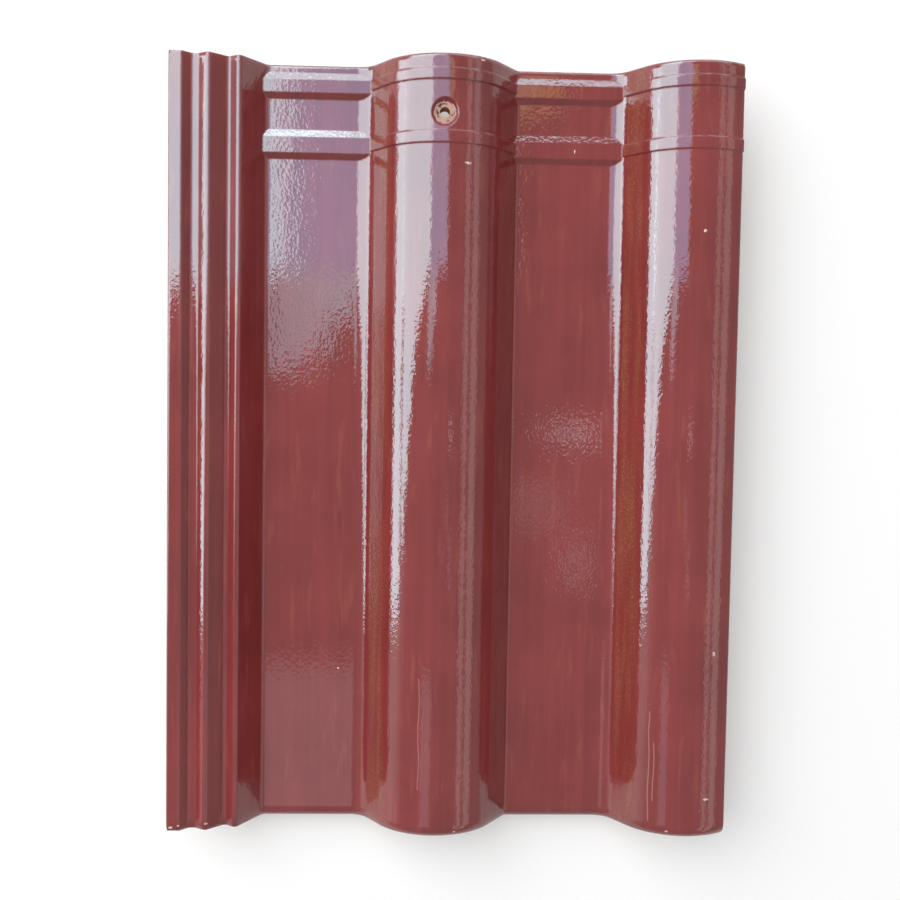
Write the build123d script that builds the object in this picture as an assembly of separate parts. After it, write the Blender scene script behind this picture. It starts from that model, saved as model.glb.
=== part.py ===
from build123d import *

import math
import os

# A glazed clay interlocking roof tile with two pans and two rolls, pressed and fired as one piece.
# X runs across the tile, from the edge with the water channels on the left to the covering edge on the right.
# Y runs up the roof, from the tail (the lower edge, which shows on a roof) to the head. Z is up.
# All sizes are millimetres. Heights are given above the pans' upper surface.
# The finished tile is moved so that the origin is under its middle, on the surface it lies on.

# Overall. The side lap is how far the covering edge reaches over the next tile.
TILE_LENGTH = 402.0
TILE_WIDTH = 293.6
SIDE_LAP = 27.4
PAN_WALL = 9.5
ROLL_WALL = 8.0

# The two rolls: round arches on straight flanks
ROLL_RADIUS = 35.0
ROLL_RISE = 30.5
FLANK_ANGLE = 56.0
CREST_TO_COVER_EDGE = 20.5
LEFT_FOOT_RADIUS = 12.0
RIGHT_FOOT_RADIUS = 2.5
INNER_FOOT_RADIUS = 4.0

# The water channels, as distances from the left edge and heights above the pans
LIP_WIDTH = 6.8
LIP_HEIGHT = 21.5
OUTER_CHANNEL_X = 12.8
OUTER_CHANNEL_WIDTH = 3.4
OUTER_CHANNEL_HEIGHT = 17.2
MIDDLE_RIB_X = 20.0
MIDDLE_RIB_HEIGHT = 20.9
INNER_CHANNEL_X = 29.3
INNER_CHANNEL_HEIGHT = 12.4
INNER_RIB_X = 35.2
INNER_RIB_HEIGHT = 16.9
FIRST_PAN_X = 47.2
FIRST_PAN_RADIUS = 3.5
LIP_UNDERSIDE_HEIGHT = 12.0
CHANNEL_UNDERSIDE_X = 31.0
CHANNEL_UNDERSIDE_HEIGHT = 5.2

# The covering edge: its underside follows the next tile's channels with this clearance
LAP_CLEARANCE = 1.0
COVER_EDGE_WIDTH = 3.8
COVER_EDGE_RADIUS = 2.0
COVER_EDGE_STRAIGHT = 1.5
RIDER_RECESS_WIDTH = 3.6
COVER_RIB_SIDE = 2.4

# Rounding of small corners
EDGE_RADIUS = 1.5
CHANNEL_RADIUS = 2.0
COVER_RIB_RADIUS = 0.7

# Cross bars in the pans near the head, which keep rain from driving up under the tile above
BAR_HEIGHT = 2.6
BAR_LOWER_SLOPE = 3.0
BAR_UPPER_SLOPE = 4.2
BAR_WIDTHS = (13.8, 15.4)
BARS_FROM_HEAD = (4.1, 33.7)

# Low bands over the rolls, beside the bars
BAND_RISE = 0.7
BAND_SLOPE = 0.6
BAND_WIDTHS = (6.1, 6.7)
BANDS_FROM_HEAD = (7.4, 38.3)

# The rim below the tail, which stands on the tile under it, and a second seal behind the rim
RIM_DEPTH = 5.0
RIM_WIDTH = 6.5
SEAL_DEPTH = 4.0
SEAL_WIDTH = 10.0
SEAL_FROM_TAIL = 24.0
RIM_PAN_MARGIN = 3.0
RIM_COVER_MARGIN = 5.2

# The two nibs below the pans that hook over the batten
NIB_DEPTH = 8.0
NIB_WIDTH = 40.0
NIB_THICKNESS = 11.0
NIB_DRAFT = 8.0
NIBS_FROM_HEAD = 16.0

# The nail hole on the first roll, with a wide seat for the nail's head and a boss below
NAIL_HOLE_RADIUS = 2.7
NAIL_SEAT_RADIUS = 5.6
NAIL_MOUTH_RADIUS = 7.4
NAIL_SEAT_DEPTH = 2.4
NAIL_HOLE_FROM_HEAD = 29.5
NAIL_BOSS_DEPTH = 4.5
NAIL_BOSS_RADIUS = 8.0
NAIL_BOSS_ROOT_RADIUS = 10.0
NAIL_BORE_OVERRUN = 0.5

# The rounded nose along the tail and the smaller edge along the head: part of a round, in a few lofted steps.
# The channels' ends are rounded less, by this share of the full drop.
NOSE_RADIUS = 6.5
HEAD_EDGE_RADIUS = 2.8
CHANNEL_DROP_SHARE = 0.35
END_ANGLE = 72.0
END_STEPS = 5

FLANK = math.radians(FLANK_ANGLE)
ROLL_CENTRE_Z = ROLL_RISE - ROLL_RADIUS
ROLL_PITCH = (TILE_WIDTH - SIDE_LAP) / 2
SECOND_ROLL_X = TILE_WIDTH - CREST_TO_COVER_EDGE
FIRST_ROLL_X = SECOND_ROLL_X - ROLL_PITCH
NEXT_TILE_X = TILE_WIDTH - SIDE_LAP
UNDER_ROLL_RADIUS = ROLL_RADIUS - ROLL_WALL
UNDER_CREST_Z = ROLL_RISE - ROLL_WALL


def flank_x(radius, height):
    """Distance from a roll's middle to its flank line at the given height."""
    return (radius - (height - ROLL_CENTRE_Z) * math.cos(FLANK)) / math.sin(FLANK)


def apex_z(radius):
    """Height at which a roll's two flank lines would meet: the corner that its arch rounds off."""
    return ROLL_CENTRE_Z + radius / math.cos(FLANK)


def section(corners):
    """A closed cross-section in the X-Z plane, from corners given as (x, z, corner radius)."""
    points = [(x, z) for x, z, radius in corners]
    radii = [radius for x, z, radius in corners]
    return Plane.XZ * make_face(FilletPolyline(*points, radius=radii, close=True))


def along(shape, start, end):
    """Push a cross-section along Y, between two distances from the tail."""
    return Pos(0, start, 0) * extrude(shape, amount=start - end)


def channel_corners():
    """Upper corners of the left side: lip, outer channel, middle rib, inner channel, inner rib."""
    half_channel = OUTER_CHANNEL_WIDTH / 2
    return [
        (0, LIP_HEIGHT, EDGE_RADIUS),
        (LIP_WIDTH, LIP_HEIGHT, EDGE_RADIUS),
        (OUTER_CHANNEL_X - half_channel, OUTER_CHANNEL_HEIGHT, CHANNEL_RADIUS),
        (OUTER_CHANNEL_X + half_channel, OUTER_CHANNEL_HEIGHT, CHANNEL_RADIUS),
        (MIDDLE_RIB_X, MIDDLE_RIB_HEIGHT, CHANNEL_RADIUS),
        (INNER_CHANNEL_X, INNER_CHANNEL_HEIGHT, CHANNEL_RADIUS),
        (INNER_RIB_X, INNER_RIB_HEIGHT, CHANNEL_RADIUS),
    ]


def pan_and_roll_corners():
    """Upper corners from the first pan to the left foot of the covering roll."""
    foot = flank_x(ROLL_RADIUS, 0)
    return [
        (FIRST_PAN_X, 0, FIRST_PAN_RADIUS),
        (FIRST_ROLL_X - foot, 0, LEFT_FOOT_RADIUS),
        (FIRST_ROLL_X, apex_z(ROLL_RADIUS), ROLL_RADIUS),
        (FIRST_ROLL_X + foot, 0, RIGHT_FOOT_RADIUS),
        (SECOND_ROLL_X - foot, 0, LEFT_FOOT_RADIUS),
    ]


def cover_top_corners():
    """Upper corners of the covering roll, whose arch runs out straight at the covering edge.

    The first is where its left flank and that straight end would meet: the corner that the arch rounds off.
    """
    end_angle = math.asin((CREST_TO_COVER_EDGE - COVER_EDGE_STRAIGHT) / ROLL_RADIUS)
    apex_angle = (end_angle - FLANK) / 2
    apex_reach = ROLL_RADIUS / math.cos((end_angle + FLANK) / 2)
    apex_height = ROLL_CENTRE_Z + apex_reach * math.cos(apex_angle)
    arch_end_z = ROLL_CENTRE_Z + ROLL_RADIUS * math.cos(end_angle)
    return [
        (SECOND_ROLL_X + apex_reach * math.sin(apex_angle), apex_height, ROLL_RADIUS),
        (TILE_WIDTH, arch_end_z - COVER_EDGE_STRAIGHT * math.tan(end_angle), 0),
    ]


def channel_side_z(x):
    """Height of the slope between the middle rib and the inner channel."""
    fall = (MIDDLE_RIB_HEIGHT - INNER_CHANNEL_HEIGHT) / (INNER_CHANNEL_X - MIDDLE_RIB_X)
    return MIDDLE_RIB_HEIGHT - fall * (x - MIDDLE_RIB_X)


def cover_under_corners():
    """Lower corners of the covering roll, from the covering edge back to its crest.

    The edge stands on the slope of the next tile's inner channel, a recess passes over its middle rib
    and a rib hangs into its outer channel.
    """
    edge_inside = SIDE_LAP - COVER_EDGE_WIDTH
    half_recess = RIDER_RECESS_WIDTH / 2
    half_rib = OUTER_CHANNEL_WIDTH / 2
    recess_z = MIDDLE_RIB_HEIGHT + LAP_CLEARANCE
    rib_z = OUTER_CHANNEL_HEIGHT + LAP_CLEARANCE
    near_side = [
        (SIDE_LAP, channel_side_z(SIDE_LAP) + LAP_CLEARANCE, COVER_RIB_RADIUS),
        (edge_inside, channel_side_z(edge_inside) + LAP_CLEARANCE, COVER_RIB_RADIUS),
        (MIDDLE_RIB_X + half_recess, recess_z, COVER_RIB_RADIUS),
        (MIDDLE_RIB_X - half_recess, recess_z, COVER_RIB_RADIUS),
        (OUTER_CHANNEL_X + half_rib, rib_z, COVER_RIB_RADIUS),
        (OUTER_CHANNEL_X - half_rib, rib_z, COVER_RIB_RADIUS),
        (OUTER_CHANNEL_X - half_rib - COVER_RIB_SIDE, UNDER_CREST_Z, COVER_RIB_RADIUS),
    ]
    return [(NEXT_TILE_X + x, z, radius) for x, z, radius in near_side]


def under_corners():
    """Lower corners from the covering roll's crest back to the left edge."""
    foot = flank_x(UNDER_ROLL_RADIUS, -PAN_WALL)
    slope_shift = PAN_WALL * math.tan(FLANK / 2)
    return [
        (SECOND_ROLL_X - flank_x(UNDER_ROLL_RADIUS, UNDER_CREST_Z), UNDER_CREST_Z, UNDER_ROLL_RADIUS),
        (SECOND_ROLL_X - foot, -PAN_WALL, INNER_FOOT_RADIUS),
        (FIRST_ROLL_X + foot, -PAN_WALL, INNER_FOOT_RADIUS),
        (FIRST_ROLL_X, apex_z(UNDER_ROLL_RADIUS), UNDER_ROLL_RADIUS),
        (FIRST_ROLL_X - foot, -PAN_WALL, INNER_FOOT_RADIUS),
        (FIRST_PAN_X - slope_shift, -PAN_WALL, INNER_FOOT_RADIUS),
        (CHANNEL_UNDERSIDE_X, CHANNEL_UNDERSIDE_HEIGHT, EDGE_RADIUS),
        (0, LIP_UNDERSIDE_HEIGHT, EDGE_RADIUS),
    ]


def tile_section(drop):
    """The tile's whole cross-section, with its upper surface lowered by the given drop."""
    channels = [(x, z - CHANNEL_DROP_SHARE * drop, radius) for x, z, radius in channel_corners()]
    pans_and_rolls = pan_and_roll_corners() + cover_top_corners()
    lowered = [(x, z - drop, radius) for x, z, radius in pans_and_rolls]
    outline = section(channels + lowered + cover_under_corners() + under_corners())
    corner = outline.vertices().sort_by(Axis.X)[-2:].sort_by(Axis.Z)[-1]
    return fillet(corner, COVER_EDGE_RADIUS)


def rounded_end(radius):
    """An end of the tile from Y = 0: its upper surface rises in a round over a straight underside."""
    reach = math.radians(END_ANGLE)
    sections = []
    for step in range(END_STEPS + 1):
        angle = reach * step / END_STEPS
        y = radius * (math.sin(reach) - math.sin(angle))
        drop = radius * (1 - math.cos(angle))
        sections.append(Pos(0, y, 0) * tile_section(drop))
    return loft(sections)


def tile_body():
    """The tile without its bars, rims and nibs: its section pushed along between two rounded ends."""
    reach = math.sin(math.radians(END_ANGLE))
    tail = rounded_end(NOSE_RADIUS)
    head = Pos(0, TILE_LENGTH, 0) * mirror(rounded_end(HEAD_EDGE_RADIUS), Plane.XZ)
    middle = along(tile_section(0), NOSE_RADIUS * reach, TILE_LENGTH - HEAD_EDGE_RADIUS * reach)
    return middle + tail + head


def weather_bar(left, right, start, end):
    """A low bar across a pan, steeper on its lower side. Its ends run into the flanks."""
    root = -PAN_WALL / 4
    outline = Polyline(
        (start, root),
        (start, 0),
        (start + BAR_LOWER_SLOPE, BAR_HEIGHT),
        (end - BAR_UPPER_SLOPE, BAR_HEIGHT),
        (end, 0),
        (end, root),
        close=True,
    )
    return Pos(left, 0, 0) * extrude(Plane.YZ * make_face(outline), amount=right - left)


def roll_band(roll_x, start, end):
    """A low band over a roll, from foot to foot, trimmed to the tile's width."""
    outer = ROLL_RADIUS + BAND_RISE
    inner = ROLL_RADIUS - ROLL_WALL / 2
    foot_z = BAR_HEIGHT / 3
    arch = section([
        (roll_x - flank_x(outer, foot_z), foot_z, 0),
        (roll_x, apex_z(outer), outer),
        (roll_x + flank_x(outer, foot_z), foot_z, 0),
        (roll_x + flank_x(inner, foot_z), foot_z, 0),
        (roll_x, apex_z(inner), inner),
        (roll_x - flank_x(inner, foot_z), foot_z, 0),
    ])
    band = along(arch, start, end)
    band = chamfer(band.faces().filter_by(Axis.Y).edges(), BAND_SLOPE)
    within = Box(TILE_WIDTH, TILE_LENGTH, TILE_WIDTH, align=(Align.MIN, Align.MIN, Align.CENTER))
    return band & within


def under_band(depth):
    """A cross-section that lowers the underside of the pans and rolls, from a root inside the wall."""
    root = ROLL_WALL / 3
    levels = []
    for drop in (depth, -root):
        radius = UNDER_ROLL_RADIUS - drop
        floor = -PAN_WALL - drop
        foot = flank_x(radius, floor)
        levels.append([
            (FIRST_PAN_X - RIM_PAN_MARGIN, floor, 0),
            (FIRST_ROLL_X - foot, floor, INNER_FOOT_RADIUS),
            (FIRST_ROLL_X, apex_z(radius), radius),
            (FIRST_ROLL_X + foot, floor, INNER_FOOT_RADIUS),
            (SECOND_ROLL_X - foot, floor, INNER_FOOT_RADIUS),
            (SECOND_ROLL_X, apex_z(radius), radius),
            (SECOND_ROLL_X + foot, floor, 0),
        ])
    lower, upper = levels
    return section(lower + upper[::-1])


def rim(depth, start, width):
    """A rib across the underside that stops where the next tile's lip comes in."""
    reach = Pos(0, 0, -TILE_WIDTH / 2) * Box(
        NEXT_TILE_X - RIM_COVER_MARGIN, TILE_LENGTH, TILE_WIDTH, align=(Align.MIN, Align.MIN, Align.MIN)
    )
    return along(under_band(depth), start, start + width) & reach


def nib(middle_x):
    """A nib below a pan: an upright face hooks over the batten and the other sides slope for the mould."""
    root = -PAN_WALL / 2
    face_y = TILE_LENGTH - NIBS_FROM_HEAD
    height = NIB_DEPTH + PAN_WALL + root
    block = Pos(middle_x, face_y, root) * Box(
        NIB_WIDTH, NIB_THICKNESS, height, align=(Align.CENTER, Align.MIN, Align.MAX)
    )
    sloping = block.faces().filter_by(Axis.X) + block.faces().sort_by(Axis.Y)[-1:]
    drafted = draft(sloping, Plane((middle_x, face_y, root), z_dir=(0, 0, -1)), NIB_DRAFT)
    return fillet(drafted.faces().sort_by(Axis.Z)[0].edges(), EDGE_RADIUS)


def nail_boss():
    """A boss below the crest that gives the nail hole a longer wall."""
    top = UNDER_CREST_Z + ROLL_WALL / 2
    height = NAIL_BOSS_DEPTH + ROLL_WALL / 2
    return Pos(FIRST_ROLL_X, TILE_LENGTH - NAIL_HOLE_FROM_HEAD, top) * Cone(
        NAIL_BOSS_RADIUS, NAIL_BOSS_ROOT_RADIUS, height, align=(Align.CENTER, Align.CENTER, Align.MAX)
    )


def nail_cut():
    """The nail hole with its wide seat, cut down from the crest of the first roll."""
    crest = Pos(FIRST_ROLL_X, TILE_LENGTH - NAIL_HOLE_FROM_HEAD, ROLL_RISE)
    seat = crest * Cone(
        NAIL_SEAT_RADIUS, NAIL_MOUTH_RADIUS, NAIL_SEAT_DEPTH, align=(Align.CENTER, Align.CENTER, Align.MAX)
    )
    bore = crest * Cylinder(NAIL_HOLE_RADIUS, 2 * (ROLL_WALL + NAIL_BOSS_DEPTH + NAIL_BORE_OVERRUN))
    return seat + bore


def roof_tile():
    """The whole tile as one fired piece."""
    tile = tile_body()
    foot = flank_x(ROLL_RADIUS, 0)
    pans = [(FIRST_PAN_X, FIRST_ROLL_X - foot), (FIRST_ROLL_X + foot, SECOND_ROLL_X - foot)]
    for from_head, width in zip(BARS_FROM_HEAD, BAR_WIDTHS):
        end = TILE_LENGTH - from_head
        for left, right in pans:
            tile += weather_bar(left - PAN_WALL / 2, right + PAN_WALL / 3, end - width, end)
    for from_head, width in zip(BANDS_FROM_HEAD, BAND_WIDTHS):
        end = TILE_LENGTH - from_head
        for roll_x in (FIRST_ROLL_X, SECOND_ROLL_X):
            tile += roll_band(roll_x, end - width, end)
    tile += rim(RIM_DEPTH, 0, RIM_WIDTH)
    tile += rim(SEAL_DEPTH, SEAL_FROM_TAIL, SEAL_WIDTH)
    for left, right in pans:
        tile += nib((left + right) / 2)
    tile += nail_boss()
    return tile - nail_cut()


os.makedirs("parts", exist_ok=True)
tile = Pos(-TILE_WIDTH / 2, -TILE_LENGTH / 2, PAN_WALL + NIB_DEPTH) * roof_tile()
tile.label = "roof_tile"
export_step(tile, "parts/roof_tile.step")
print("roof_tile", len(tile.solids()), "solid", round(tile.volume), "cubic mm", tile.bounding_box())
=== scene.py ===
# %% [markdown]
# A glazed clay roof tile, dressed for its picture.
# The tile is one fired piece: a pressed clay body with a glossy red-brown glaze melted onto its top.
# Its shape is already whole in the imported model, down to the bars, the ribs and the nail hole,
# so nothing is remodelled here. The work is in the glaze, the bare clay, the small chips and the light.

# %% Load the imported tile
import math
import random

import bmesh
import bpy
from mathutils import Euler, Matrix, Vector
from mathutils.bvhtree import BVHTree


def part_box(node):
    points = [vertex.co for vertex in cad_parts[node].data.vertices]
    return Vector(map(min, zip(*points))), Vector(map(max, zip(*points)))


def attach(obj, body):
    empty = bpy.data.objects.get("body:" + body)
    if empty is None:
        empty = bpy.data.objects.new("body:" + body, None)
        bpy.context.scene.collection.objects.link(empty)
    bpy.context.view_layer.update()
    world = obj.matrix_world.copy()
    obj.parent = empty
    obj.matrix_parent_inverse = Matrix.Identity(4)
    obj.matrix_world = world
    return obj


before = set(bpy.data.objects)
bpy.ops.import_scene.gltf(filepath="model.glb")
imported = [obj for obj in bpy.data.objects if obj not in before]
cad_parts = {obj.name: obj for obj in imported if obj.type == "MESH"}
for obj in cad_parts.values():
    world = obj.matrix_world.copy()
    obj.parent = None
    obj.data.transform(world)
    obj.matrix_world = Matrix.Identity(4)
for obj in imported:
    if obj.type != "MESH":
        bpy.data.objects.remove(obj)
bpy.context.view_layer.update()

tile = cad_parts["roof_tile"]
tile_low, tile_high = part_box("roof_tile")
print("tile size in mm:", [round(1000 * (b - a), 1) for a, b in zip(tile_low, tile_high)])

# %% [markdown]
# Places on a tile are easiest to name as a roofer would measure them: across from its left edge and
# up from its tail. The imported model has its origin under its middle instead, in metres. One helper turns
# the first into the second, so every place on the tile below can be checked with a ruler on a real one.

# %% Places on the tile
MM = 0.001
TILE_WIDTH = 293.6
TILE_LENGTH = 402.0
PAN_TOP = 17.5


def on_tile(across, up, height=0.0):
    """Frame metres from mm across from the left edge, mm up from the tail and mm above the pans."""
    return Vector(((across - TILE_WIDTH / 2) * MM, (up - TILE_LENGTH / 2) * MM, (height + PAN_TOP) * MM))


print("left end of the tail:", on_tile(0, 0))

# %% [markdown]
# The picture is taken from almost straight above, with the tail towards the viewer.
# A camera could be aimed by eye, but the tile's own outline fixes it: its four corners and the lines of its
# rolls give one place, one tilt and one lens that put every edge where the photograph has it.

# %% Camera at the photograph's viewing angle
CAMERA_PLACE = on_tile(124.16, 233.2, 617.2)
CAMERA_TURN = Euler((-0.0532, -0.035, 0.0161), "XYZ")
IMAGE_SIDE_PX = 900
FOCAL_LENGTH_PX = 1153.2
SENSOR_MM = 36.0
NEAREST_SEEN = 10 * MM

camera_data = bpy.data.cameras.new("camera")
camera_data.sensor_width = SENSOR_MM
camera_data.lens = SENSOR_MM * FOCAL_LENGTH_PX / IMAGE_SIDE_PX
camera_data.clip_start = NEAREST_SEEN
camera = bpy.data.objects.new("camera", camera_data)
camera.location = CAMERA_PLACE
camera.rotation_euler = CAMERA_TURN
bpy.context.collection.objects.link(camera)
bpy.context.scene.camera = camera
bpy.context.scene.view_settings.view_transform = "Standard"
print("lens in mm:", round(camera_data.lens, 2))

# %% [markdown]
# A material is a tree of nodes joined by links. It could be drawn by hand in the shader editor, but these
# trees have dozens of nodes, so one helper adds a node and another starts an empty material.
# An input is either a plain value, which is set, or the output of another node, which is linked.


# %% Helpers for a material
def add_node(tree, kind, settings=None, inputs=None):
    """Adds a node, sets its properties and its unlinked inputs, and links the inputs given as sockets."""
    node = tree.nodes.new(kind)
    for name, value in (settings or {}).items():
        setattr(node, name, value)
    for name, value in (inputs or {}).items():
        if isinstance(value, bpy.types.NodeSocket):
            tree.links.new(value, node.inputs[name])
        else:
            node.inputs[name].default_value = value
    return node


def new_material(name):
    """A material with an empty tree and its output node."""
    material = bpy.data.materials.new(name)
    material.use_nodes = True
    material.node_tree.nodes.clear()
    return material, material.node_tree, material.node_tree.nodes.new("ShaderNodeOutputMaterial")


glazed, tree, output = new_material("red_brown_glaze")
print("an empty material:", glazed.name, "with", len(tree.nodes), "node")

# %% [markdown]
# Clay and glaze are never quite even. Their clouds, grains and streaks could be painted as an image, but
# smooth noise at the tile's own coordinates has no seams and stays on the tile in every view. A coordinate
# that is multiplied by a small number draws the noise out along it, into streaks.


# %% Helpers for a pattern
def stretched(tree, stretch):
    """Object coordinates in metres, multiplied along each axis."""
    place = add_node(tree, "ShaderNodeTexCoord")
    return add_node(tree, "ShaderNodeVectorMath", {"operation": "MULTIPLY"}, {
        0: place.outputs["Object"], 1: stretch}).outputs[0]


def noise(tree, scale, detail=2.0, stretch=(1, 1, 1)):
    """Smooth noise between 0 and 1, with features of 1/scale metres."""
    return add_node(tree, "ShaderNodeTexNoise", inputs={
        "Vector": stretched(tree, stretch), "Scale": scale, "Detail": detail}).outputs[0]


SAND_SCALE = 900
print("a grain of sand in mm:", round(1 / SAND_SCALE / MM, 1))

# %% [markdown]
# Noise by itself is a soft grey fog. A ramp picks the part of it that counts and says how hard its edge is,
# and a mix lays one colour over another by that amount. Two noises can also be added, each with its share.


# %% Helpers for mixing
def ramp(tree, value, low, high, to_low=0.0, to_high=1.0):
    """Maps a value from one range to another, smoothly, and holds it at the ends."""
    return add_node(tree, "ShaderNodeMapRange", {"interpolation_type": "SMOOTHSTEP"}, {
        "Value": value, "From Min": low, "From Max": high, "To Min": to_low, "To Max": to_high}).outputs[0]


def maths(tree, operation, a, b=0.0):
    """One arithmetic step on two values."""
    return add_node(tree, "ShaderNodeMath", {"operation": operation}, {0: a, 1: b}).outputs[0]


def shared(tree, share, a, b):
    """A share of one value and the rest of another."""
    return maths(tree, "ADD", maths(tree, "MULTIPLY", a, share), maths(tree, "MULTIPLY", b, 1 - share))


def mix_colour(tree, factor, a, b):
    """A colour between two."""
    node = add_node(tree, "ShaderNodeMix", {"data_type": "RGBA"}, {"Factor": factor})
    for socket, value in ((node.inputs[6], a), (node.inputs[7], b)):
        if isinstance(value, bpy.types.NodeSocket):
            tree.links.new(value, socket)
        else:
            socket.default_value = value
    return node.outputs[2]


BROAD_SHARE = 0.6
print("share of the broad noise:", BROAD_SHARE)

# %% [markdown]
# Fired clay without glaze is dull, pale and a little pink. It shows where the glaze didn't reach: on the
# underside, in the seat of the nail hole and in the chips. One flat colour would look like paper, so it has
# patches, and grains of sand give it a fine tooth.
# The seat also has a stain, where glaze ran in and was wiped out again, so the shader takes one.

# %% Bare clay
CLAY_LIGHT = (0.66, 0.44, 0.36, 1)
CLAY_DARK = (0.47, 0.28, 0.21, 1)
CLAY_STAIN = (0.10, 0.035, 0.03, 1)
CLAY_PATCH_SCALE = 30
CLAY_TOOTH = 0.4 * MM
CLAY_ROUGHNESS = 0.85
CLAY_SHINE = 0.25


def clay_shader(tree, stain=None):
    """The output of a shader for bare fired clay, darker where a stain is given."""
    patches = noise(tree, CLAY_PATCH_SCALE, 4.0)
    grains = noise(tree, SAND_SCALE, 3.0)
    shade = ramp(tree, shared(tree, BROAD_SHARE, patches, grains), 0.35, 0.65)
    colour = mix_colour(tree, shade, CLAY_DARK, CLAY_LIGHT)
    if stain is not None:
        colour = mix_colour(tree, stain, colour, CLAY_STAIN)
    tooth = add_node(tree, "ShaderNodeBump", inputs={
        "Height": grains, "Strength": 1.0, "Distance": CLAY_TOOTH})
    return add_node(tree, "ShaderNodeBsdfPrincipled", inputs={
        "Base Color": colour, "Roughness": CLAY_ROUGHNESS, "Specular IOR Level": CLAY_SHINE,
        "Normal": tooth.outputs[0]}).outputs[0]


print("mean colour of the clay:", [round((a + b) / 2, 2) for a, b in zip(CLAY_LIGHT, CLAY_DARK)])

# %% [markdown]
# The glaze is a layer of coloured glass over the clay. Its red-brown drifts between a deeper and a brighter
# tone, in clouds a few centimetres wide and in fine streaks along the tile, and it is paler in thin spots.
# A single colour with a little noise would do from afar, but the streaks are what a viewer sees up close.

# %% Colour of the glaze
GLAZE_DEEP = (0.205, 0.030, 0.030, 1)
GLAZE_BRIGHT = (0.275, 0.043, 0.042, 1)
GLAZE_THIN = (0.33, 0.088, 0.055, 1)
CLOUD_SCALE = 22
STREAK_SCALE = 260
THIN_SPOT_SCALE = 210
THIN_SPOT_MOST = 0.45

clouds = noise(tree, CLOUD_SCALE, 3.0)
streaks = noise(tree, STREAK_SCALE, 3.0, (1, 0.03, 1))
shade = ramp(tree, shared(tree, BROAD_SHARE, clouds, streaks), 0.3, 0.7)
body_colour = mix_colour(tree, shade, GLAZE_DEEP, GLAZE_BRIGHT)
thin_noise = noise(tree, THIN_SPOT_SCALE, 5.0, (1, 0.15, 1))
thin_spots = ramp(tree, thin_noise, 0.56, 0.76, 0.0, THIN_SPOT_MOST)
body_colour = mix_colour(tree, thin_spots, body_colour, GLAZE_THIN)
print("glaze nodes with its colour:", len(tree.nodes))

# %% [markdown]
# Steep faces that look left get a painted reflection: an orange-brown with fine pale specks stands for the
# brown surroundings low on the left that these faces mirror. The faces could be picked one by one, but the
# surface's own normal already says which way each point looks, so a ramp on its sideways part finds them all.
# Streaks break the painted reflection up.

# %% Painted reflection on the steep left faces
# colours of the painted reflection: the brown surroundings on the left, as mirrored by steep left faces
PAINTED_REFLECTION_BROWN = (0.27, 0.085, 0.045, 1)
PAINTED_REFLECTION_SPECK = (0.40, 0.17, 0.11, 1)
STEEP_FULL = -0.84
STEEP_NONE = -0.72
REFLECTION_STREAK_SCALE = 150
REFLECTION_LEAST = 0.1
REFLECTION_MOST = 0.6
SPECK_SCALE = 1300

normal = add_node(tree, "ShaderNodeSeparateXYZ", inputs={
    0: add_node(tree, "ShaderNodeNewGeometry").outputs["Normal"]})
steep = ramp(tree, normal.outputs[0], STEEP_FULL, STEEP_NONE, 1.0, 0.0)
reflection_noise = noise(tree, REFLECTION_STREAK_SCALE, 4.0, (1, 0.10, 1))
reflection_streaks = ramp(tree, reflection_noise, 0.38, 0.66, REFLECTION_LEAST, REFLECTION_MOST)
# how much painted reflection each point gets: steep faces that look left, broken into streaks
painted_reflection = maths(tree, "MULTIPLY", steep, reflection_streaks)
body_colour = mix_colour(tree, painted_reflection, body_colour, PAINTED_REFLECTION_BROWN)
# pale specks of painted reflection inside it
reflection_specks = ramp(tree, noise(tree, SPECK_SCALE, 3.0, (1, 0.6, 1)), 0.54, 0.66)
body_colour = mix_colour(tree, maths(tree, "MULTIPLY", painted_reflection, reflection_specks), body_colour, PAINTED_REFLECTION_SPECK)
print("steep from degrees:", round(math.degrees(math.asin(-STEEP_NONE))))

# %% [markdown]
# The surface isn't flat like a window: it kept a slight waviness when it froze, a little drawn out along the
# tile, so every mirror image has a ragged edge. It comes in three sizes, from grains to slow swells, and each
# is a bump that starts from the one before. The first starts from a Bevel node, which rounds the sharp edges
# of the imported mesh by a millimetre, as a thick glaze does. Real waves would take millions of faces.

# %% Waviness of the glaze
EDGE_ROUNDING = 1.1 * MM
# scale, stretch and height of each size
WAVES = [(1700, (1, 0.8, 1), 0.014 * MM), (640, (1, 0.75, 1), 0.07 * MM), (120, (1, 0.5, 1), 0.09 * MM)]

soft_edges = add_node(tree, "ShaderNodeBevel", {"samples": 4}, {"Radius": EDGE_ROUNDING}).outputs[0]
wavy = soft_edges
for scale, stretch, height in WAVES:
    wavy = add_node(tree, "ShaderNodeBump", inputs={
        "Height": noise(tree, scale, 1.0, stretch), "Strength": 1.0, "Distance": height,
        "Normal": wavy}).outputs[0]
    print("waves in mm:", round(1 / scale / MM, 1), "wide")

# %% [markdown]
# Two things make glaze look like glass rather than paint: light that comes back from the colour below, and a
# clear, strong mirror image from its surface. One dull or one glossy shader gives only the first or the
# second. A clear coat over a dull base gives both and keeps them apart, and only the coat gets the waves.

# %% Glaze over clay
GLAZE_IOR = 1.75
GLAZE_ROUGHNESS = 0.045
GLAZE_BASE_ROUGHNESS = 0.55
glaze_look = add_node(tree, "ShaderNodeBsdfPrincipled", inputs={
    "Base Color": body_colour,
    "Roughness": GLAZE_BASE_ROUGHNESS,
    "Specular IOR Level": 0.0,
    "Normal": soft_edges,
    "Coat Weight": 1.0,
    "Coat Roughness": GLAZE_ROUGHNESS,
    "Coat IOR": GLAZE_IOR,
    "Coat Normal": wavy,
}).outputs[0]
print("mirrored straight on:", round(((GLAZE_IOR - 1) / (GLAZE_IOR + 1)) ** 2, 3))

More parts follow.
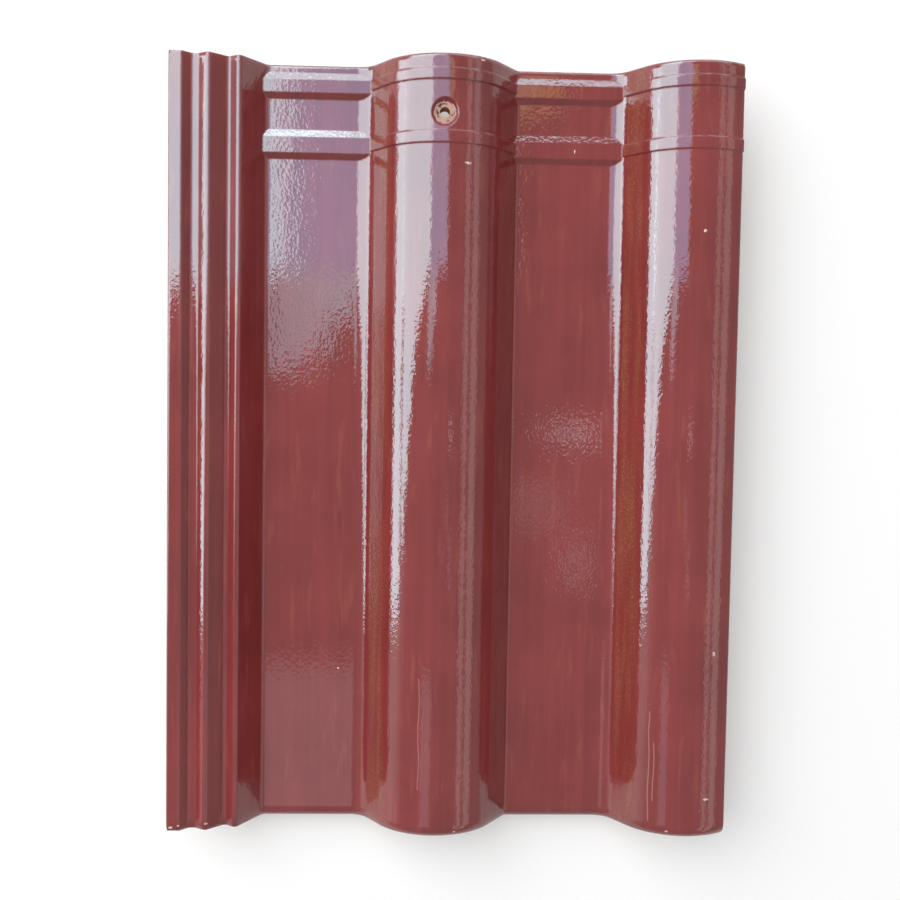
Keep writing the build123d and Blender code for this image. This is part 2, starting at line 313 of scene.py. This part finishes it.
# %% [markdown]
# Where does the glaze end? It was sprayed from above, so it covers every face that looks up, and upright
# faces and those that look down stay bare. These could be two materials on separate faces, but a real edge
# isn't a ruled line, so the upward part of the normal decides, with a little noise to shift it.

# %% Where the spray reached
SPRAY_NONE = 0.10
SPRAY_FULL = 0.20
SPRAY_WANDER = 0.10
SPRAY_SCALE = 160
wander = ramp(tree, noise(tree, SPRAY_SCALE, 3.0), 0.3, 0.7, -SPRAY_WANDER, SPRAY_WANDER)
covered = ramp(tree, maths(tree, "ADD", normal.outputs[2], wander), SPRAY_NONE, SPRAY_FULL)
print("glaze nodes with the spray:", len(tree.nodes))

# %% [markdown]
# The seat of the nail hole was wiped clean, and a dark, broken ring is left on its bare clay. Both are round,
# so both come from one number: the distance from the hole in the tile's plan, made a little ragged.
# The boss under the hole is as far from it as the ring, so the ring is kept to faces that look up.

# %% The seat of the nail hole
SEAT_PLACE = on_tile(140.0, 372.5)
SEAT_RADIUS = 5.5 * MM
SEAT_EDGE = 0.3 * MM
SEAT_RAGGED = 0.5 * MM
SEAT_RAGGED_SCALE = 500
RING_GAP_SCALE = 230
RING_STARTS = (3.4 * MM, 3.7 * MM)
RING_ENDS = (4.2 * MM, 4.7 * MM)

plan = stretched(tree, (1, 1, 0))
from_hole = add_node(tree, "ShaderNodeVectorMath", {"operation": "DISTANCE"}, {
    0: plan, 1: (SEAT_PLACE.x, SEAT_PLACE.y, 0)}).outputs["Value"]
uneven = ramp(tree, noise(tree, SEAT_RAGGED_SCALE, 2.0), 0.3, 0.7, -SEAT_RAGGED, SEAT_RAGGED)
ragged = maths(tree, "ADD", from_hole, uneven)
outside_seat = ramp(tree, ragged, SEAT_RADIUS - SEAT_EDGE, SEAT_RADIUS + SEAT_EDGE)
ring = maths(tree, "MULTIPLY", ramp(tree, ragged, *RING_STARTS), ramp(tree, ragged, *RING_ENDS, 1.0, 0.0))
ring_gaps = ramp(tree, noise(tree, RING_GAP_SCALE, 2.0), 0.46, 0.52)
ring = maths(tree, "MULTIPLY", maths(tree, "MULTIPLY", ring, ring_gaps), covered)
print("width of the ring in mm:", round((RING_ENDS[0] - RING_STARTS[1]) / MM, 1))

# %% [markdown]
# Last, the glaze and the clay become one material. A Mix Shader chooses between them at each point, so the
# tile keeps one slot, as the fired piece is one body with its glaze.

# %% Glaze and clay on the tile
glaze_reach = maths(tree, "MULTIPLY", covered, outside_seat)
surface = add_node(tree, "ShaderNodeMixShader", inputs={
    0: glaze_reach, 1: clay_shader(tree, ring), 2: glaze_look})
tree.links.new(surface.outputs[0], output.inputs["Surface"])
tile.material_slots[0].material = glazed
print("glaze nodes:", len(tree.nodes))

# %% [markdown]
# Chips and runs lie on the tile, which is curved in many places. Their heights could be worked out from the
# profile of the rolls, but it is simpler to look straight down at the tile and see where each point lands.

# %% Looking down at the tile
tile_tree = BVHTree.FromObject(tile, bpy.context.evaluated_depsgraph_get())
SKY = 0.2
DOWN = Vector((0, 0, -1))


def surface_below(x, y):
    """The point and the normal of the tile's upper surface at a place in its plan."""
    return tile_tree.ray_cast(Vector((x, y, SKY)), DOWN)[:2]


print("top of the first roll in mm:", round(surface_below(SEAT_PLACE.x, 0)[0].z / MM, 1))

# %% [markdown]
# Small chips break the glaze on the edges and here and there on the top. Clay that was broken after firing is
# clean, so it is paler than the clay of the underside, but it has the same grains of sand.

# %% Freshly broken clay
FRESH_CLAY = (0.80, 0.64, 0.57, 1)
FRESH_TOOTH = 0.3 * MM
fresh_clay, tree, output = new_material("fresh_broken_clay")
grains = noise(tree, SAND_SCALE, 3.0)
broken = add_node(tree, "ShaderNodeBump", inputs={
    "Height": grains, "Strength": 1.0, "Distance": FRESH_TOOTH})
look = add_node(tree, "ShaderNodeBsdfPrincipled", inputs={
    "Base Color": mix_colour(tree, ramp(tree, grains, 0.35, 0.6), CLAY_LIGHT, FRESH_CLAY),
    "Roughness": CLAY_ROUGHNESS, "Specular IOR Level": CLAY_SHINE, "Normal": broken.outputs[0]})
tree.links.new(look.outputs[0], output.inputs["Surface"])
print("fresh clay nodes:", len(tree.nodes))

# %% [markdown]
# Broken clay has no smooth outline. Each flake starts as a circle, and each of its corners is pulled in by
# chance and laid on the tile. The dice have a fixed seed, so the same chips come out each time.

# %% A broken outline
CHIP_CORNERS = 14
CHIP_LEAST_REACH = 0.6
dice = random.Random(4)


def turn_of(corner):
    """How far round its new circle a corner lies, from 0 to a full turn."""
    return math.atan2(corner.co.y, corner.co.x) % (2 * math.pi)


def lay_ring(ring, share, lift, middle, length, width):
    """Puts the corners of one ring of a flake on the tile, around the flake's middle."""
    for step, corner in enumerate(sorted(ring, key=turn_of)):
        angle = 2 * math.pi * step / CHIP_CORNERS
        reach = share * dice.uniform(CHIP_LEAST_REACH, 1.0) / 2
        point, normal = surface_below(
            middle.x + reach * width * MM * math.cos(angle),
            middle.y + reach * length * MM * math.sin(angle))
        corner.co = point + normal * lift


print("corners of a flake are degrees apart:", round(360 / CHIP_CORNERS, 1))

# %% [markdown]
# A bmesh is only a drawing board. A finished form has to become a mesh, and an object that holds the mesh has
# to be linked into the scene. The mesh is written in frame metres, so its object stays at the origin.


# %% From a form to a piece
def make_piece(name, form, material):
    """A piece of the scene from a finished bmesh and its material."""
    mesh = bpy.data.meshes.new(name)
    form.to_mesh(mesh)
    form.free()
    mesh.materials.append(material)
    piece = bpy.data.objects.new(name, mesh)
    bpy.context.collection.objects.link(piece)
    print(name, "faces:", len(mesh.polygons))
    return piece


# %% [markdown]
# Each chip is a flat flake of pale clay that lies on the tile's surface. Cutting it out of the tile would
# need a much finer mesh for the same look. The filled circle gets one inset, for a middle that stands a
# little higher than the thin edge around it.

# %% Chips in the glaze
# across, up, length along the roll and width, all in mm
CHIPS = [
    (2.4, 2.0, 1.6, 2.6), (6.5, 3.1, 1.3, 1.7), (20.8, 3.8, 1.4, 2.0), (158.9, 399.8, 1.4, 3.4),
    (152.1, 347.6, 1.7, 4.2), (209.6, 359.6, 2.4, 0.9), (273.4, 315.8, 2.0, 2.0), (87.7, 82.0, 1.2, 1.4),
    (284.3, 97.8, 3.0, 2.0), (282.0, 21.0, 1.5, 3.6), (150.5, 3.0, 1.0, 1.6), (262.0, 3.4, 1.1, 2.2),
]
CHIP_LIFT = 0.05 * MM
CHIP_MIDDLE_SHARE = 0.55

form = bmesh.new()
for across, up, length, width in CHIPS:
    circle = bmesh.ops.create_circle(form, cap_ends=True, segments=CHIP_CORNERS, radius=1.0)["verts"]
    flake = circle[0].link_faces[0]
    edge = bmesh.ops.inset_individual(form, faces=[flake], thickness=1 - CHIP_MIDDLE_SHARE)["faces"]
    inner = set(flake.verts)
    outer = {corner for face in edge for corner in face.verts} - inner
    middle = on_tile(across, up)
    lay_ring(inner, CHIP_MIDDLE_SHARE, 2 * CHIP_LIFT, middle, length, width)
    lay_ring(outer, 1.0, CHIP_LIFT, middle, length, width)
chips = make_piece("glaze_chips", form, fresh_clay)
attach(chips, "root")

# %% [markdown]
# Three thin runs of glaze stand on the rolls near the tail, where drops ran down before the tile was fired.
# Glaze that thin is paler than the glaze around it.

# %% Thin glaze
RUN_COLOUR = (0.34, 0.11, 0.095, 1)
run_look, tree, output = new_material("thin_glaze")
look = add_node(tree, "ShaderNodeBsdfPrincipled", inputs={
    "Base Color": RUN_COLOUR, "Roughness": 0.4, "Coat Weight": 1.0, "Coat Roughness": 0.03,
    "Coat IOR": GLAZE_IOR})
tree.links.new(look.outputs[0], output.inputs["Surface"])
print("thin glaze nodes:", len(tree.nodes))

# %% [markdown]
# Each run is a low ridge, half a millimetre wide, that sways a little on its way down. A curve with a round
# section would sink into the roll by half, so it is a strip of grid instead, two faces wide: its sides lie on
# the roll and its middle line stands up.

# %% Runs in the glaze
# across, and the upper and lower end measured up from the tail, all in mm
RUNS = [(252.6, 66.0, 6.5), (254.9, 50.0, 18.0), (131.2, 84.0, 24.0)]
RUN_WIDTH = 0.5 * MM
RUN_HEIGHT = 0.10 * MM
RUN_LIFT = 0.01 * MM
RUN_STEP = 1.5
RUN_SWAY = 0.25
RUN_SWAY_LENGTH = 5
RUN_UNEVEN = 0.08
HALF = 0.5

form = bmesh.new()
for across, start, end in RUNS:
    rows = math.ceil((start - end) / RUN_STEP)
    places = []
    for row in range(rows):
        up = start - row * RUN_STEP
        shift = RUN_SWAY * math.sin(up / RUN_SWAY_LENGTH) + dice.uniform(-RUN_UNEVEN, RUN_UNEVEN)
        places.append(on_tile(across + shift, up))
    strip = bmesh.ops.create_grid(form, x_segments=2, y_segments=rows - 1, size=HALF)["verts"]
    for corner in strip:
        side = corner.co.x
        place = places[round((HALF - corner.co.y) * (rows - 1))]
        point, normal = surface_below(place.x + side * RUN_WIDTH, place.y)
        corner.co = point + normal * (RUN_HEIGHT * (1 - abs(side) / HALF) + RUN_LIFT)
for face in form.faces:
    face.smooth = True
runs = make_piece("glaze_runs", form, run_look)
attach(runs, "root")

# %% [markdown]
# The floor is plain and pale, wide enough to fill every view. Brighter lamps would make it whiter but would
# wash out the glaze. So its colour is a light grey, on which the tile's shadow stays readable, and it glows a
# little where the camera sees it.

# %% Floor
FLOOR_SIDE = 24.0
FLOOR_COLOUR = (0.80, 0.80, 0.80, 1)
WHITE = (1, 1, 1, 1)
FLOOR_GLOW = 0.22

floor_paint, tree, output = new_material("pale_floor")
path = add_node(tree, "ShaderNodeLightPath")
diffuse = add_node(tree, "ShaderNodeBsdfDiffuse", inputs={"Color": FLOOR_COLOUR})
glow = add_node(tree, "ShaderNodeEmission", inputs={"Color": WHITE, "Strength": FLOOR_GLOW})
both = add_node(tree, "ShaderNodeAddShader", inputs={0: diffuse.outputs[0], 1: glow.outputs[0]})
mixed = add_node(tree, "ShaderNodeMixShader", inputs={
    0: path.outputs["Is Camera Ray"], 1: diffuse.outputs[0], 2: both.outputs[0]})
tree.links.new(mixed.outputs[0], output.inputs["Surface"])
form = bmesh.new()
bmesh.ops.create_grid(form, x_segments=1, y_segments=1, size=FLOOR_SIDE / 2)
floor = make_piece("floor", form, floor_paint)

# %% [markdown]
# The studio around the tile gives a weak even light. The camera sees it as white, and so would clear glass.
# A mirror sees its left wall as white too, and the rest as a dim room. An all-white room would put a veil
# over the glaze, and the photograph shows none.

# %% Studio
AMBIENT = 0.42
WALL_FULL = -0.95
WALL_NONE = -0.80
DIM_ROOM = 0.38


def background(tree, strength):
    """The output of white light from all around."""
    return add_node(tree, "ShaderNodeBackground", inputs={"Color": WHITE, "Strength": strength}).outputs[0]


world = bpy.data.worlds.new("studio")
bpy.context.scene.world = world
world.use_nodes = True
tree = world.node_tree
tree.nodes.clear()
path = add_node(tree, "ShaderNodeLightPath")
seen = maths(tree, "MAXIMUM", path.outputs["Is Camera Ray"], path.outputs["Is Transmission Ray"])
sideways = add_node(tree, "ShaderNodeSeparateXYZ", inputs={
    0: add_node(tree, "ShaderNodeTexCoord").outputs["Generated"]}).outputs[0]
wall = ramp(tree, sideways, WALL_FULL, WALL_NONE, 1.0, DIM_ROOM)
glossy = add_node(tree, "ShaderNodeMixShader", inputs={
    0: path.outputs["Is Glossy Ray"], 1: background(tree, AMBIENT), 2: background(tree, wall)})
blend = add_node(tree, "ShaderNodeMixShader", inputs={
    0: seen, 1: glossy.outputs[0], 2: background(tree, 1.0)})
world_output = add_node(tree, "ShaderNodeOutputWorld")
tree.links.new(blend.outputs[0], world_output.inputs["Surface"])
print("even light:", AMBIENT, "seen in a mirror:", DIM_ROOM)

# %% [markdown]
# Two kinds of lamp light a glossy piece in a studio: one large soft lamp that brings out its colour, and
# panels that are only there to be mirrored in the glaze. Kept apart, each can be right by itself, so the
# colour stays as written while the mirror images are as bright as they should be. The soft lamp comes first.


# %% Soft key lamp
def panel_lamp(name, size, place, radiance, colour, turn=(0, 0, 0)):
    """A soft rectangular panel that shines down unless turned. Its brightness is given, not its power."""
    lamp_data = bpy.data.lights.new(name, "AREA")
    lamp_data.shape = "RECTANGLE"
    lamp_data.size, lamp_data.size_y = size
    lamp_data.energy = radiance * math.pi * size[0] * size[1]
    lamp_data.color = colour
    lamp = bpy.data.objects.new(name, lamp_data)
    lamp.location = place
    lamp.rotation_euler = turn
    lamp.visible_camera = False
    bpy.context.collection.objects.link(lamp)
    return lamp


KEY_PLACE = Vector((-1.4, 1.2, 2.2))
KEY_SIZE = (3.0, 3.0)
KEY_RADIANCE = 3.2
KEY_COLOUR = (1.0, 1.0, 1.0)
key = panel_lamp("soft_key", KEY_SIZE, KEY_PLACE, KEY_RADIANCE, KEY_COLOUR,
                 KEY_PLACE.to_track_quat("Z", "Y").to_euler())
key.visible_glossy = False
print("key lamp in watts:", round(key.data.energy))

# %% [markdown]
# The panels are placed by their mirror images. A lamp that only mirrors is turned off for dull surfaces,
# which would otherwise get lighter with each panel. Most panels hang level, a third of a metre up, and are
# given as the rectangle of the plan that they cover.


# %% Panels for the mirror image
def mirrored_panel(name, size, place, radiance, colour, turn=(0, 0, 0)):
    """A panel that shows in the glaze but adds nothing to the light on its colour."""
    lamp = panel_lamp(name, size, place, radiance, colour, turn)
    lamp.visible_diffuse = False
    return lamp


OVERHEAD_HEIGHT = 367.5 * MM


def overhead(name, low, high, radiance, colour):
    """A level mirrored panel over the rectangle between two places in the plan."""
    size = (high[0] - low[0], high[1] - low[1])
    middle = ((low[0] + high[0]) / 2, (low[1] + high[1]) / 2, OVERHEAD_HEIGHT)
    return mirrored_panel(name, size, middle, radiance, colour)


print("overhead panels hang in mm above the floor:", OVERHEAD_HEIGHT / MM)

# %% [markdown]
# The wide bands on the left sides of the rolls and ribs come from a bright panel on the left. The bands
# narrow towards the tail, so the panel's near edge runs off at a slant. A lamp can only be a rectangle or an
# ellipse, so the slant is a stair of smaller panels, and the waves of the glaze hide its steps.

# %% Bright panel with a slanted edge
BRIGHT = 6.4
SKY_WHITE = (0.60, 0.90, 1.0)
BRIGHT_EDGE = 0.126
BRIGHT_SIDE = -0.127
overhead("bright_panel", (-0.96, BRIGHT_EDGE), (BRIGHT_SIDE, 1.6), BRIGHT, SKY_WHITE)
# right side and near edge of each step, in metres
SLANT = [(-0.17, 0.112), (-0.22, 0.095), (-0.28, 0.080), (-0.35, 0.045), (-0.42, -0.005), (-0.51, -0.070),
         (-0.63, -0.150)]
SLANT_END = -0.80
for step, (right, near) in enumerate(SLANT):
    left = SLANT[step + 1][0] if step + 1 < len(SLANT) else SLANT_END
    overhead(f"bright_step_{step}", (left, near), (right, BRIGHT_EDGE), BRIGHT, SKY_WHITE)
print("steps of the slant:", len(SLANT))

# %% [markdown]
# The first pan mirrors a dimmer, lilac panel beside the bright one, with a paler edge that fades out towards
# the tail. The bars of the second pan mirror a small warm panel. A few faint patches stand for whatever else
# hung above the tile.

# %% Dim panels overhead
LILAC = (0.30, 0.63, 1.0)
PALE_LILAC = (0.48, 0.84, 1.0)
WARM = (1.0, 0.75, 0.25)
PALE_GREY = (0.8, 0.9, 1.0)
# name, left and near corner, right and far corner, brightness and colour
DIM_PANELS = [
    ("lilac_panel", (BRIGHT_SIDE, BRIGHT_EDGE), (0.046, 0.9), 2.9, LILAC),
    ("lilac_rim", (-0.146, 0.046), (-0.110, BRIGHT_EDGE), 2.2, PALE_LILAC),
    ("lilac_middle", (-0.110, 0.060), (-0.090, BRIGHT_EDGE), 2.6, PALE_LILAC),
    ("lilac_patch", (-0.090, 0.088), (-0.060, BRIGHT_EDGE), 3.0, PALE_LILAC),
    ("warm_panel", (0.053, 0.262), (0.098, 0.34), 1.4, WARM),
    ("warm_strip", (0.046, 0.12), (0.054, 0.262), 1.2, WARM),
    ("far_patch", (0.097, -0.010), (0.134, 0.004), 1.9, PALE_GREY),
    ("far_patch_faint", (0.070, -0.085), (0.105, -0.045), 0.35, PALE_GREY),
    ("far_patch_tall", (0.116, -0.135), (0.128, -0.090), 1.0, PALE_GREY),
    ("tail_patch", (-0.16, -0.40), (-0.05, -0.20), 0.55, PALE_GREY),
]
for panel in DIM_PANELS:
    overhead(*panel)
print("dim panels:", len(DIM_PANELS))

# %% [markdown]
# Steep faces look sideways, so they mirror uprights. The thin bright lines down to the tail come from one far
# on the left, the shine on the far slopes of the bars from two past the head, and the two soft grey lines
# on the right side of each roll from two long strips on the right.

# %% Upright panels
UPRIGHT = math.pi / 2
FACING_RIGHT = (0, -UPRIGHT, 0)
FACING_TAIL = (-UPRIGHT, 0, 0)
FACING_LEFT = (0, UPRIGHT, 0)
STRIP_GREY = (0.90, 0.88, 0.86)
# name, size, place of its middle, brightness, colour and turn
UPRIGHT_PANELS = [
    ("left_panel", (0.58, 1.5), (-2.0, 0.27, 0.46), BRIGHT, SKY_WHITE, FACING_RIGHT),
    ("head_left_panel", (1.6, 0.74), (-0.70, 2.0, 0.39), 6.0, SKY_WHITE, FACING_TAIL),
    ("head_right_panel", (1.4, 0.42), (0.80, 2.0, 0.23), 5.0, SKY_WHITE, FACING_TAIL),
    ("right_low_panel", (0.28, 3.0), (0.95, 0.0, 0.60), 0.85, STRIP_GREY, FACING_LEFT),
    ("right_high_panel", (0.28, 3.0), (0.95, 0.0, 1.02), 0.85, STRIP_GREY, FACING_LEFT),
]
for panel in UPRIGHT_PANELS:
    mirrored_panel(*panel)
